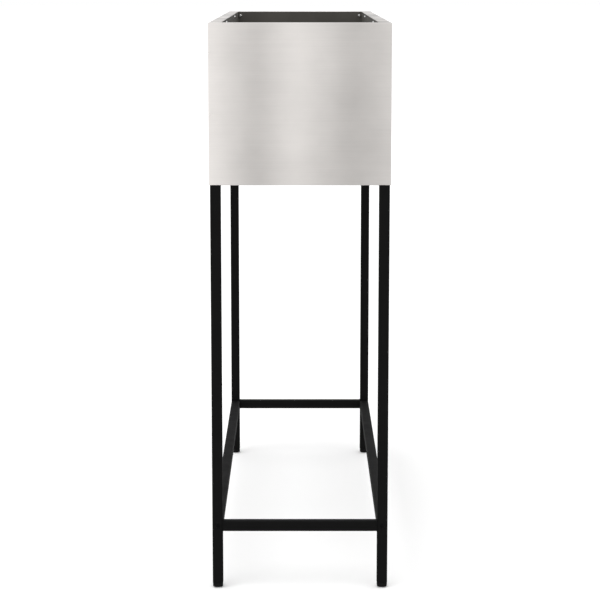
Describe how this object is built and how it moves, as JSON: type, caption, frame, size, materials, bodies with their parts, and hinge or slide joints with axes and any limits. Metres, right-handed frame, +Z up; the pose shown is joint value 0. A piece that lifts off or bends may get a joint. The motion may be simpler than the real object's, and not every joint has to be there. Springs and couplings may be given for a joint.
{
  "type": "raised planter on legs",
  "caption": "Narrow raised planter: a brushed stainless box with a folded rim and a dark planting tray, on a black square-tube frame with lower rails.",
  "frame": {"origin": "on the floor, under the middle of the box", "axes": "+Z up, +Y along the box from the front end to the rear end, +X across it to the right seen from the front end"},
  "size_m": [0.305, 1.002, 0.97],
  "materials": {
    "panel": "brushed stainless steel, hairline grain along each panel",
    "frame": "black powder coat, satin, fine texture",
    "tray": "dark grey-black paint, matt",
    "foot_cap": "black moulded plastic, matt",
    "bolt": "black oxide steel, satin",
    "screw": "bright zinc-plated or stainless steel, polished"
  },
  "bodies": {
    "root": {"leg_front_left": "frame", "leg_front_right": "frame", "leg_rear_left": "frame", "leg_rear_right": "frame", "foot_cap_front_left": "foot_cap", "foot_cap_front_right": "foot_cap", "foot_cap_rear_left": "foot_cap", "foot_cap_rear_right": "foot_cap", "lower_rail_front": "frame", "lower_rail_rear": "frame", "lower_rail_left": "frame", "lower_rail_right": "frame", "support_rail_front": "frame", "support_rail_rear": "frame", "support_rail_left": "frame", "support_rail_right": "frame", "top_rail_front": "frame", "top_rail_rear": "frame", "top_rail_left": "frame", "top_rail_right": "frame", "slat_front": "frame", "slat_middle": "frame", "slat_rear": "frame", "end_panel_front": "panel", "end_panel_rear": "panel", "side_panel_left": "panel", "side_panel_right": "panel", "tray": "tray", "lower_bolt_front_left": "bolt", "lower_bolt_front_right": "bolt", "lower_bolt_rear_left": "bolt", "lower_bolt_rear_right": "bolt", "support_bolt_front_left": "bolt", "support_bolt_front_right": "bolt", "support_bolt_rear_left": "bolt", "support_bolt_rear_right": "bolt", "top_bolt_front_left": "bolt", "top_bolt_front_right": "bolt", "top_bolt_rear_left": "bolt", "top_bolt_rear_right": "bolt", "tray_screw_front_left": "screw", "tray_screw_front_right": "screw", "tray_screw_rear_left": "screw", "tray_screw_rear_right": "screw", "tray_screw_left_front": "screw", "tray_screw_left_rear": "screw", "tray_screw_right_front": "screw", "tray_screw_right_rear": "screw", "panel_screw_front": "screw", "panel_screw_rear": "screw", "panel_screw_left_front": "screw", "panel_screw_left_middle": "screw", "panel_screw_left_rear": "screw", "panel_screw_right_front": "screw", "panel_screw_right_middle": "screw", "panel_screw_right_rear": "screw"}
  },
  "joints": []
}
